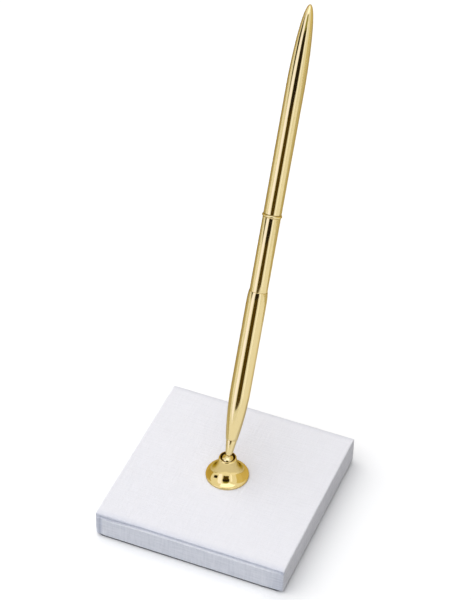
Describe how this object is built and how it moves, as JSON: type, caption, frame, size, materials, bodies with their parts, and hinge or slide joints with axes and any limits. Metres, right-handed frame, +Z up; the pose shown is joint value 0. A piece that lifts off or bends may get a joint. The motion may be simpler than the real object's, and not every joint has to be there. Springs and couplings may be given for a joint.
{
  "type": "pen stand",
  "caption": "Square cloth-covered desk base with a gold swivel holder, and a slim gold twist-action ballpoint pen that leans in it, turns and tilts with it, and lifts out.",
  "frame": {"origin": "on the table, at the middle of the felt's underside, below the holder", "axes": "+Z up; -Y is the base face turned most to the viewer in the picture, and the pen leans towards +Y"},
  "size_m": [0.0826, 0.1314, 0.1902],
  "materials": {
    "white_cloth": "white cloth with a fine plain weave",
    "fibreboard": "raw medium-density fibreboard",
    "wadding": "thin polyester wadding",
    "grey_felt": "pressed felt",
    "polished_gold": "polished pale gold plating",
    "white_nylon": "natural nylon",
    "bright_steel": "bright zinc-plated steel",
    "plain_brass": "plain turned brass",
    "black_plastic": "moulded acetal"
  },
  "bodies": {
    "base": {"base_board": "fibreboard", "top_wadding": "wadding", "cloth_cover": "white_cloth", "underside_felt": "grey_felt", "holder_bell": "polished_gold", "cup_spring": "bright_steel", "mounting_stud": "bright_steel", "clamp_washer": "bright_steel", "clamp_nut": "bright_steel"},
    "swivel_cup": {"friction_cup": "white_nylon"},
    "ball": {"swivel_ball": "polished_gold"},
    "pen": {"nose_cone": "polished_gold", "lower_barrel": "polished_gold", "thread_coupling": "plain_brass", "mid_tube": "polished_gold", "centre_ring": "polished_gold", "guide_tube": "black_plastic", "twist_bush": "white_nylon", "cam_retainer": "bright_steel"},
    "pen_tail": {"tail_barrel": "polished_gold", "cam_sleeve": "black_plastic"},
    "refill": {"refill_carrier": "black_plastic", "cam_pin": "bright_steel", "ink_tube": "plain_brass", "point_holder": "plain_brass", "point_ball": "bright_steel"}
  },
  "joints": [
    {"name": "swivel_turn", "type": "hinge", "parent": "base", "child": "swivel_cup", "pos_m": [0, 0, 0.02125], "axis": [0, 0, 1], "continuous": true},
    {"name": "swivel_tilt", "type": "hinge", "parent": "swivel_cup", "child": "ball", "pos_m": [0, 0, 0.02125], "axis": [-0.9982, -0.0593, 0], "range_deg": [-56.5, 0.5]},
    {"name": "pen_lift", "type": "slide", "parent": "ball", "child": "pen", "axis": [-0.0278, 0.4686, 0.8829], "range_m": [0, 0.06]},
    {"name": "tail_twist", "type": "hinge", "parent": "pen", "child": "pen_tail", "pos_m": [0, 0, 0.02125], "axis": [-0.0278, 0.4686, 0.8829], "range_deg": [0, 180]},
    {"name": "refill_feed", "type": "slide", "parent": "pen", "child": "refill", "axis": [0.0278, -0.4686, -0.8829], "range_m": [0, 0.0026]}
  ],
  "couplings": [
    {"joint": "refill_feed", "follows": "tail_twist", "m_per_rad": 0.00082761}
  ]
}
